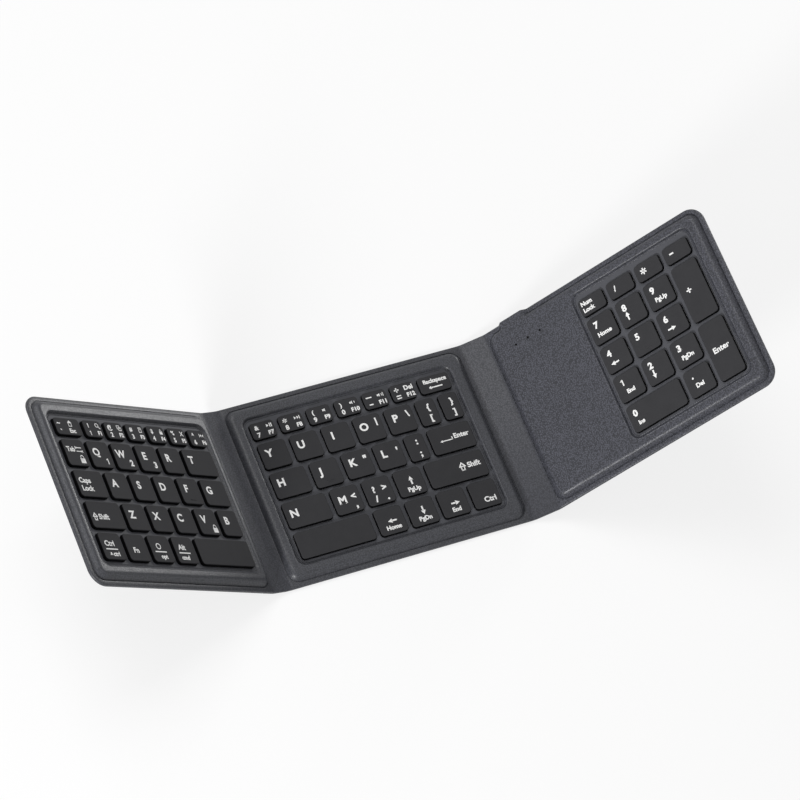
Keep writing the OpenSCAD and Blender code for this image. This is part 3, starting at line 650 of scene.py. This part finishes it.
for side, mirror in (("left", -1), ("right", 1)):
    near = Vector(joints[side + "_band_fold"]["pos_m"]) / MM
    far = Vector(joints[side + "_wing_fold"]["pos_m"]) / MM
    angle = -math.radians(joints[side + "_band_fold"]["range_deg"][0])
    first = core_inset["middle"][0] - BAND_GAP
    last = CREASE_SIDE - BAND_GAP
    turn_a = 2 * (first - LEAD_IN)
    turn_b = 2 * (last - LEAD_OUT)
    start = (near.x - mirror * first, EDGE_Z / 2)
    half_run = (far - near).length / 2
    steps_a = [(LEAD_IN, 0)] + [(turn_a / INNER_STEPS, angle / INNER_STEPS)] * INNER_STEPS
    run_count = round((half_run - turn_a / 2) / SECTION_STEP)
    steps_a += [((half_run - turn_a / 2) / run_count, 0)] * run_count
    inner, joint_at, heading = band_half(side + "_band_inner_half", start, 0, steps_a, mirror)
    run_count = round((half_run - turn_b / 2) / SECTION_STEP)
    steps_b = [((half_run - turn_b / 2) / run_count, 0)] * run_count
    steps_b += [(turn_b / OUTER_STEPS, angle / OUTER_STEPS)] * OUTER_STEPS + [(LEAD_OUT, 0)]
    outer = band_half(side + "_band_outer_half", joint_at, heading, steps_b, mirror)[0]
    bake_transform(inner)
    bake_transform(outer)
    for half in (inner, outer):
        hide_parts(side + "_hinge_band")
        half.data.materials.append(shaded_band_leather)


# A moulded, rolled or printed surface: two close shades in a fine grain, with a
# roughness that varies and a shallow bump of the same grain.
def grained(
    name, dark, light, grain_mm, depth_mm, rough_low, rough_high, metallic=0.0, stretch=1.0, specular=0.5
):
    material, tree = empty_material(name)
    drawn = add_node(
        tree,
        "ShaderNodeMapping",
        {"Vector": add_node(tree, "ShaderNodeTexCoord").outputs["Object"],
         "Scale": (1 / stretch, 1.0, 1.0)},
    )
    grain = add_node(
        tree,
        "ShaderNodeTexNoise",
        {"Vector": drawn.outputs[0], "Scale": 1 / (grain_mm * MM), "Detail": 3.0, "Roughness": 0.6},
    )
    wide = add_node(
        tree,
        "ShaderNodeTexNoise",
        {"Vector": drawn.outputs[0], "Scale": 1 / (22 * grain_mm * MM), "Detail": 2.0},
    )
    both = add_node(
        tree,
        "ShaderNodeMath",
        {0: wide.outputs[0], 1: 0.6, 2: grain.outputs[0]},
        operation="MULTIPLY_ADD",
    )
    blend = add_node(
        tree, "ShaderNodeMapRange", {"Value": both.outputs[0], "From Min": 0.5, "From Max": 1.1}
    )
    colour = add_node(
        tree, "ShaderNodeMix", {0: blend.outputs[0], 6: srgb(dark), 7: srgb(light)}, data_type="RGBA"
    )
    rough = add_node(
        tree,
        "ShaderNodeMapRange",
        {"Value": both.outputs[0], "From Min": 0.5, "From Max": 1.1,
         "To Min": rough_low, "To Max": rough_high},
    )
    bump = add_node(
        tree,
        "ShaderNodeBump",
        {"Height": grain.outputs[0], "Strength": 0.5, "Distance": depth_mm * MM},
    )
    shader = add_node(
        tree,
        "ShaderNodeBsdfPrincipled",
        {"Base Color": colour.outputs[2], "Roughness": rough.outputs[0], "Normal": bump.outputs[0],
         "Metallic": metallic, "Specular IOR Level": specular},
    )
    add_node(tree, "ShaderNodeOutputMaterial", {"Surface": shader.outputs[0]})
    return material


# Keys. Moulded ABS caps, hollow underneath, each clipped to a scissor link. The
# finger face has a thin satin coat, and its edge is rounded. The sides of a cap are
# coloured near black, darker than the face, as painted shade.
CAP_SIDE = 12.0
CAP_R = 1.7
CAP_FOOT = 2.75
CAP_RISE = 1.6
CAP_WALL = 0.8
CAP_HOLLOW = 1.0
COAT_FROM_Z = 4.53
# Satin coat: an even grey black with a very fine tooth and no clear reflection.
satin_coat = grained("satin_key_coat", "#39393b", "#3f3f41", 0.25, 0.01, 0.55, 0.65, specular=0.06)
# Sides of a cap: near black, as painted shade, and glossier than the face.
black_abs = grained("black_abs", "#040405", "#08080a", 0.4, 0.01, 0.4, 0.5, specular=0.12)


def master_cap():
    """One square cap, which is copied and widened from its middle for every key."""
    half = CAP_SIDE / 2
    cap = plate("master_cap", -half, half, -half, half, CAP_FOOT, CAP_R, CAP_R, steps=5)
    bpy.ops.mesh.extrude_region_move(TRANSFORM_OT_translate={"value": (0, 0, CAP_RISE * MM)})
    step_in([(0.02, 0.1), (0.05, 0.09), (0.08, 0.07), (0.12, 0.04)])
    step_in([(0.25, 0), (0.5, -0.015), (0.5, -0.01)])
    bpy.ops.mesh.select_all(action="SELECT")
    bpy.ops.mesh.normals_make_consistent(inside=False)
    pick(cap, "faces", lambda item, co: co.z < CAP_FOOT + 0.01)
    step_in([(CAP_WALL, 0), (0.05, -CAP_HOLLOW)])
    bpy.ops.object.mode_set(mode="OBJECT")
    cap.data.materials.append(black_abs)
    cap.data.materials.append(satin_coat)
    # Faces below the coat take the painted shade of the sides.
    for face in cap.data.polygons:
        face.material_index = 1 if face.center.z > COAT_FROM_Z * MM else 0
    return cap


def merged(spans):
    """Joins overlapping spans, and returns what is left, in order."""
    runs = []
    for low, high in sorted(spans):
        if runs and low < runs[-1][1] + 0.1:
            runs[-1][1] = max(high, runs[-1][1])
        else:
            runs.append([low, high])
    return runs


def key_cells(node, panel):
    """The sides of each cap of a node, in the panel's flat mm, from back to front and left to right."""
    mesh = frame["nodes"][node].data
    back = place[panel].inverted()
    points = [back @ v.co / MM for v in mesh.vertices]
    faces = [[points[i] for i in face.vertices] for face in mesh.polygons]
    rows = merged((min(p.y for p in face), max(p.y for p in face)) for face in faces)
    cells = []
    for y0, y1 in reversed(rows):
        row = [face for face in faces if y0 - 0.01 < face[0].y < y1 + 0.01]
        spans = merged((min(p.x for p in face), max(p.x for p in face)) for face in row)
        cells += [(x0, x1, y0, y1) for x0, x1 in spans]
    return cells


master = master_cap()
caps = {}
cells = {}
for panel in PANELS:
    for node in key_nodes[panel]:
        cells[node] = key_cells(node, panel)
        pieces = []
        for x0, x1, y0, y1 in cells[node]:
            cap = master.copy()
            cap.data = master.data.copy()
            bpy.context.scene.collection.objects.link(cap)
            widen = ((x1 - x0) - CAP_SIDE) / 2 * MM
            deepen = ((y1 - y0) - CAP_SIDE) / 2 * MM
            middle = Vector(((x0 + x1) / 2, (y0 + y1) / 2, 0)) * MM
            for v in cap.data.vertices:
                v.co.x += widen * math.copysign(1, v.co.x)
                v.co.y += deepen * math.copysign(1, v.co.y)
                v.co += middle
            pieces.append(cap)
        caps[node] = join(pieces, node + "_caps")
        bpy.ops.object.shade_smooth_by_angle(angle=SMOOTH_ANGLE)
        settle(caps[node], panel)
        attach(caps[node], node + "_body")
        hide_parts(node)
bpy.data.objects.remove(master)

# Homing bars. Small raised bars moulded on the F, J and 5 keys, which a finger
# finds without looking. They take the same satin coat as the keys.
BAR_HALF = 1.9
BAR_FRONT = 2.0
BAR_DEPTH = 0.7
BAR_FOOT_Z = 4.5
BAR_R = 0.3
BAR_RISE = 0.15
for node, index, panel in (
    ("left_home_keys", 3, "left"), ("middle_home_keys", 1, "middle"), ("pad_456_keys", 1, "right"),
):
    x0, x1, y0, y1 = cells[node][index]
    middle = (x0 + x1) / 2
    bar = plate(
        node.replace("_keys", "_homing_bar"), middle - BAR_HALF, middle + BAR_HALF,
        y0 + BAR_FRONT, y0 + BAR_FRONT + BAR_DEPTH, BAR_FOOT_Z, BAR_R, BAR_R, steps=4,
    )
    bpy.ops.mesh.extrude_region_move(TRANSFORM_OT_translate={"value": (0, 0, BAR_RISE * MM)})
    step_in([(0.05, 0.07), (0.12, 0.05)])
    face_outwards()
    bar.data.materials.append(satin_coat)
    bpy.ops.object.shade_smooth_by_angle(angle=SMOOTH_ANGLE)
    settle(bar, panel)
    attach(bar, node + "_body")

# Legends. White ink pad printed on the caps: one sign on most letter keys, and
# two to four on the number rows, the modifier keys and the number pad. The ink
# is even and nearly matt, with a slight tooth from the coat below it.
legend_ink = grained("legend_ink", "#f9f9f7", "#ffffff", 0.3, 0.01, 0.5, 0.6)
INK_Z = 4.66
SMALL_SIZE = 4.0
SMALL_STROKE = 0.13
LARGE_STROKE = 0.2
OUTLINE_WIDTH = 0.15
HALF_DIAGONAL = 0.7071
# Each shape is a bar, a triangle or the outline of a polygon, with its middle,
# width, height and turn in a square of side 1.
symbols = {
    "arrow": [("bar", -0.2, 0, 0.55, 0.18, 0), ("tri", 0.2, 0, 0.64, 0.6, 0)],
    "shift": [
        ("ring3", 0.16, 0, 0.8, 1.0, 0), ("bar", -0.24, 0.17, 0.36, 0.12, 0),
        ("bar", -0.24, -0.17, 0.36, 0.12, 0), ("bar", -0.42, 0, 0.12, 0.46, 0),
    ],
    "tab": [
        ("bar", 0.1, 0.26, 0.8, 0.12, 0), ("tri", -0.38, 0.26, -0.3, 0.36, 0),
        ("bar", -0.55, 0.26, 0.1, 0.4, 0), ("bar", -0.1, -0.26, 0.8, 0.12, 0),
        ("tri", 0.38, -0.26, 0.3, 0.36, 0), ("bar", 0.55, -0.26, 0.1, 0.4, 0),
    ],
    "return": [
        ("bar", 0.08, 0, 0.84, 0.08, 0), ("tri", -0.4, 0, -0.26, 0.26, 0), ("bar", 0.5, 0.1, 0.08, 0.28, 0),
    ],
    "long": [("bar", 0.08, 0, 0.84, 0.09, 0), ("tri", -0.38, 0, -0.26, 0.28, 0)],
    "rule": [("bar", 0, 0, 1.0, 0.08, 0)],
    "_": [("bar", 0, 0, 1.0, 0.2, 0)],
    "-": [("bar", 0, 0, 0.6, 0.2, 0)],
    "=": [("bar", 0, 0.2, 0.7, 0.18, 0), ("bar", 0, -0.2, 0.7, 0.18, 0)],
    "+": [("bar", 0, 0, 0.8, 0.2, 0), ("bar", 0, 0, 0.2, 0.8, 0)],
    "*": [("bar", 0, 0, 0.8, 0.16, 90), ("bar", 0, 0, 0.8, 0.16, 30), ("bar", 0, 0, 0.8, 0.16, -30)],
    "1": [("bar", 0.06, 0, 0.13, 0.7, 0), ("bar", -0.05, 0.24, 0.26, 0.1, 38)],
    "ring": [("ring12", 0, 0, 1.0, 1.0, 0)],
    "home": [("ring4", 0, -0.1, 0.62, 0.6, 0), ("tri", 0, 0.3, 0.45, 0.9, 90)],
    "search": [("ring12", -0.12, 0.12, 0.7, 0.7, 0), ("bar", 0.3, -0.3, 0.4, 0.16, -45)],
    "copy": [("ring4", -0.1, 0.14, 0.6, 0.6, 0), ("ring4", 0.14, -0.14, 0.6, 0.6, 0)],
    "page": [("ring4", 0, 0, 0.62, 0.84, 0), ("bar", 0, 0.08, 0.3, 0.1, 0)],
    "cut": [("bar", 0, 0, 0.95, 0.13, 50), ("bar", 0, 0, 0.95, 0.13, -50)],
    "back": [("tri", -0.22, 0, -0.42, 0.6, 0), ("tri", 0.2, 0, -0.42, 0.6, 0), ("bar", -0.5, 0, 0.1, 0.6, 0)],
    "play": [
        ("tri", -0.22, 0, 0.5, 0.64, 0), ("bar", 0.2, 0, 0.14, 0.64, 0), ("bar", 0.44, 0, 0.14, 0.64, 0),
    ],
    "next": [("tri", -0.3, 0, 0.42, 0.6, 0), ("tri", 0.12, 0, 0.42, 0.6, 0), ("bar", 0.42, 0, 0.12, 0.6, 0)],
    "quiet": [("bar", -0.26, 0, 0.26, 0.3, 0), ("tri", -0.06, 0, -0.44, 0.64, 0)],
    "lower": [
        ("bar", -0.36, 0, 0.26, 0.3, 0), ("tri", -0.16, 0, -0.44, 0.64, 0), ("bar", 0.26, 0, 0.1, 0.34, 0),
    ],
    "louder": [
        ("bar", -0.42, 0, 0.26, 0.3, 0), ("tri", -0.22, 0, -0.44, 0.64, 0), ("bar", 0.18, 0, 0.1, 0.34, 0),
        ("bar", 0.4, 0, 0.1, 0.6, 0),
    ],
    "lock": [("bar", 0, -0.16, 0.6, 0.5, 0), ("ring12", 0, 0.14, 0.44, 0.6, 0)],
}


def letters(row, more=None):
    """A letter at the same corner of each key of a row, with the further signs of some keys."""
    return [[(letter, 4.4, 5.9, 5.4), *(more or {}).get(letter, [])] for letter in row]


def numbers(upper, lower, functions, pictures):
    """The four signs of each key of a number row: shifted sign, number, picture and function."""
    keys = []
    for i, function in enumerate(functions):
        keys.append([
            (upper[i], 3.1, 2.9, 3.0), (lower[i], 3.2, 6.7, 3.3),
            (pictures[i], 9.2, 2.8, 3.2), (function, 9.4, 6.6, 2.9),
        ])
    return keys


def pad_key(digit, below="", size=2.9):
    """A digit, alone or with a word or an arrow below it."""
    sign = (digit, 4.1, 4.3, 4.5)
    if not below:
        return [sign]
    if below in ("up", "down"):
        return [sign, (below, 4.3, 8.6, 4.4)]
    if below in ("left", "right"):
        return [sign, (below, 5.3, 9.5, 4.4)]
    return [sign, (below, 6.8, 9.4, size)]


# Each sign has its middle, in mm from the left and the back of its key, its
# size in mm and, for some arrows, its turn.
legends = {
    "esc_key": [
        [("~", 2.6, 2.8, 3.4), ("`", 3.0, 7.2, 3.4), ("home", 9.8, 2.9, 3.4), ("Esc", 10.2, 6.6, 3.0)],
    ],
    "left_number_keys": numbers(
        "!@#$%^", "123456", ("F1", "F2", "F3", "F4", "F5", "F6"),
        ("search", "copy", "page", "lock", "cut", "back"),
    ),
    "tab_key": [[("Tab", 4.1, 5.3, 3.4), ("tab", 9.3, 5.2, 3.6), ("lock", 9.6, 10.2, 5.0)]],
    "left_upper_keys": letters(
        "QWERT", {"Q": [("1", 9.9, 10.3, 4.3)], "W": [("2", 9.9, 10.3, 4.3)], "E": [("3", 9.9, 10.3, 4.3)]}
    ),
    "caps_lock_key": [[("Caps", 5.3, 5.4, 3.7), ("Lock", 5.5, 9.5, 3.7)]],
    "left_home_keys": letters("ASDFG"),
    "left_shift_key": [[("shift", 3.2, 8.0, 4.0, 90), ("Shift", 8.6, 8.0, 3.7)]],
    "left_lower_keys": letters("ZXCVB", {"V": [("lock", 10.2, 10.4, 5.0)]}),
    "left_modifier_keys": [
        [("Ctrl", 5.4, 5.6, 3.7), ("rule", 5.9, 8.4, 7.4), ("^", 4.4, 11.4, 3.4), ("ctrl", 7.7, 10.9, 3.0)],
        [("Fn", 5.6, 8.4, 3.7)],
        [("ring", 5.4, 5.6, 3.2), ("rule", 5.9, 8.4, 7.4), ("opt", 7.0, 10.9, 3.0)],
        [("Alt", 5.1, 5.6, 3.7), ("rule", 5.9, 8.4, 7.4), ("cmd", 5.4, 10.9, 3.0)],
    ],
    "middle_number_keys": numbers(
        "&*()_+", "7890-=", ("F7", "F8", "F9", "F10", "F11", "F12"),
        ("play", "next", "quiet", "lower", "louder", "Del"),
    ),
    "backspace_key": [[("Backspace", 8.6, 2.9, 2.9), ("long", 8.0, 6.3, 7.0)]],
    "middle_upper_keys": letters(
        "YUIOP", {"O": [("|", 11.1, 4.2, 4.2)], "P": [("\\", 11.1, 4.8, 4.6)]}
    ) + [
        [("{", 5.8, 4.6, 4.2), ("[", 5.6, 10.2, 4.2)], [("}", 5.8, 4.6, 4.2), ("]", 5.6, 10.2, 4.2)],
    ],
    "middle_home_keys": letters(
        "HJKL", {"K": [("\"", 11.0, 5.6, 5.0)], "L": [("'", 11.3, 5.9, 5.0)]}
    ) + [
        [(":", 5.8, 3.9, 4.8), (";", 5.8, 10.4, 4.8)],
    ],
    "enter_key": [[("return", 7.9, 7.6, 6.2), ("Enter", 15.8, 6.4, 3.5)]],
    "middle_lower_keys": [
        [("N", 4.6, 6.5, 5.4)],
        [("M", 4.7, 6.8, 5.4), ("<", 10.4, 6.0, 4.2), (",", 10.5, 10.2, 5.4)],
        [("?", 4.6, 6.0, 4.4), ("/", 4.6, 10.8, 4.4), (">", 10.0, 5.9, 4.2), (".", 10.2, 10.6, 5.6)],
    ],
    "arrow_keys": [
        [("arrow", 7.6, 6.2, 4.4, 90), ("PgUp", 7.7, 10.7, 3.0)],
        [("arrow", 7.6, 7.2, 4.4, 180), ("Home", 7.2, 10.6, 3.0)],
        [("arrow", 7.5, 6.2, 4.4, -90), ("PgDn", 7.3, 10.5, 3.0)],
        [("arrow", 7.6, 7.2, 4.4, 0), ("End", 7.2, 10.6, 3.0)],
    ],
    "right_shift_key": [[("shift", 18.0, 6.6, 4.4, 90), ("Shift", 23.8, 6.6, 3.7)]],
    "right_ctrl_key": [[("Ctrl", 8.6, 10.0, 3.7)]],
    "pad_top_keys": [
        [("Num", 4.4, 2.6, 3.0), ("Lock", 4.4, 6.0, 3.0)], [("/", 4.0, 4.4, 3.8)],
        [("*", 4.3, 4.2, 4.2)], [("-", 4.2, 4.2, 3.8)],
    ],
    "pad_789_keys": [pad_key("7", "Home", 3.0), pad_key("8", "up"), pad_key("9", "PgUp", 3.0)],
    "pad_456_keys": [pad_key("4", "left"), pad_key("5"), pad_key("6", "right")],
    "pad_123_keys": [pad_key("1", "End"), pad_key("2", "down"), pad_key("3", "PgDn", 3.0)],
    "pad_plus_key": [[("+", 4.5, 13.6, 3.4)]],
    "pad_enter_key": [[("Enter", 6.8, 14.6, 3.9)]],
    "pad_zero_key": [[("0", 3.8, 4.8, 4.4), ("Ins", 5.2, 9.8, 2.9)]],
    "pad_point_key": [[(".", 4.2, 3.4, 4.8), ("Del", 6.4, 8.8, 3.0)]],
}
turned_arrows = {"right": 0, "up": 90, "left": 180, "down": -90}


def printed_shape(kind, x, y, width, height, turn):
    """One solid or outlined shape of a symbol, in the symbol's own unit square."""
    if kind == "bar":
        bpy.ops.mesh.primitive_plane_add(size=1)
    else:
        sides = {"tri": 3, "ring3": 3, "ring4": 4, "ring12": 12}[kind]
        first = math.pi / 4 if sides == 4 else -math.pi / 2
        radius = HALF_DIAGONAL if sides == 4 else 0.5
        bpy.ops.mesh.primitive_circle_add(
            vertices=sides, radius=radius, fill_type="NGON", rotation=(0, 0, first)
        )
    shape = bpy.context.object
    bpy.ops.object.transform_apply(location=True, rotation=True, scale=True)
    if kind.startswith("ring"):
        bpy.ops.object.mode_set(mode="EDIT")
        bpy.ops.mesh.select_all(action="SELECT")
        bpy.ops.mesh.inset(thickness=OUTLINE_WIDTH)
        open_face()
    shape.matrix_world = (
        Matrix.Translation((x, y, 0))
        @ Matrix.Rotation(math.radians(turn), 4, "Z")
        @ Matrix.Diagonal((width, height, 1, 1))
    )
    bpy.ops.object.transform_apply(location=True, rotation=True, scale=True)
    return shape


def printed_mark(sign, x, y, size, turn=0):
    """A symbol or a piece of lettering, flat at its place in mm."""
    if sign in turned_arrows:
        sign, turn = "arrow", turned_arrows[sign]
    if sign in symbols:
        mark = join([printed_shape(*shape) for shape in symbols[sign]], sign)
    else:
        bpy.ops.object.text_add()
        mark = bpy.context.object
        mark.data.body = sign
        mark.data.align_x = "CENTER"
        mark.data.align_y = "CENTER"
        mark.data.offset = (LARGE_STROKE if size > SMALL_SIZE else SMALL_STROKE) / size
        mark.data.resolution_u = 4
        bpy.ops.object.convert(target="MESH")
        mark = bpy.context.object
    scale = size * MM
    mark.matrix_world = (
        Matrix.Translation(Vector((x, y, INK_Z)) * MM)
        @ Matrix.Rotation(math.radians(turn), 4, "Z")
        @ Matrix.Diagonal((scale, scale, 1, 1))
    )
    choose(mark)
    bpy.ops.object.transform_apply(location=True, rotation=True, scale=True)
    return mark


for panel in PANELS:
    for node in key_nodes[panel]:
        marks = []
        for (x0, x1, y0, y1), signs in zip(cells[node], legends.get(node, [])):
            marks += [printed_mark(sign, x0 + x, y1 - y, *rest) for sign, x, y, *rest in signs]
        if not marks:
            continue
        print_layer = join(marks, node + "_legends")
        bpy.ops.object.mode_set(mode="EDIT")
        face_outwards()
        up = sum(face.normal.z * face.area for face in print_layer.data.polygons)
        if up < 0:
            print_layer.data.flip_normals()
        print_layer.data.materials.clear()
        print_layer.data.materials.append(legend_ink)
        settle(print_layer, panel)
        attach(print_layer, node + "_body")

# Parts that keep their CAD shape: the key frames seen between the keys, the
# charging port and its lights at the back, and all that is hidden inside.
# Each takes the finish that its maker gives it.
finishes = {
    # Moulded ABS with a fine spark texture, the grey of the leather around it.
    "frame_plastic": grained(
        "textured_abs_frame", "#4b4c51", "#54555a", 0.35, 0.02, 0.5, 0.65, specular=0.25
    ),
    # Cold rolled steel, with faint lines along the sheet.
    "steel_plate": grained("rolled_steel", "#8f9194", "#a9abae", 0.3, 0.01, 0.3, 0.45, 1.0, 30.0),
    # Polyester film printed in green, with carbon tracks too fine to see.
    "contact_film": grained("printed_polyester_film", "#2b5a3b", "#35694a", 0.5, 0.01, 0.3, 0.42),
    # Moulded silicone rubber, soft, milky and matt.
    "dome_rubber": grained("moulded_silicone", "#bcbcb6", "#cbcbc5", 0.5, 0.02, 0.6, 0.75),
    # Acetal resin of the scissor links, waxy and slightly shiny.
    "link_plastic": grained("acetal_resin", "#dcdcd8", "#e8e8e4", 0.6, 0.01, 0.3, 0.42),
    # Bright nickel plating over sintered magnet, with a fine pitted skin.
    "magnet_nickel": grained("nickel_plating", "#b7b6b1", "#c8c7c2", 0.3, 0.01, 0.18, 0.3, 1.0),
    # Amber polyimide film of the flat cables, smooth and shiny.
    "cable_film": grained("polyimide_film", "#a0641f", "#b87a2c", 0.5, 0.005, 0.22, 0.34),
    # Glass epoxy board under green solder mask, with the weave just showing.
    "board_laminate": grained("solder_masked_board", "#155c33", "#1f7040", 0.5, 0.02, 0.25, 0.4),
    # Crimped foil pouch of the battery, dull silver with soft wrinkles.
    "battery_pouch": grained("aluminium_pouch", "#a2a5a8", "#b9bcbf", 1.2, 0.06, 0.32, 0.5, 1.0),
    # Deep drawn, tinned steel shell of the charging socket.
    "socket_steel": grained("tinned_steel", "#9b9ea1", "#b4b7ba", 0.25, 0.01, 0.2, 0.34, 1.0),
    # Black ABS block round the socket, with a fine matt texture.
    "port_plastic": grained("matt_black_abs", "#1c1d1f", "#242528", 0.3, 0.02, 0.5, 0.62),
    # Smoked acrylic of the status lights, nearly black while they are off.
    "light_plastic": grained("smoked_acrylic", "#030304", "#060608", 0.5, 0.002, 0.2, 0.3, specular=0.15),
}
for row in frame["record"]["subparts"]:
    if row["material_slot"] in finishes:
        slots = frame["nodes"][row["node"]].data.materials
        slots.clear()
        slots.append(finishes[row["material_slot"]])
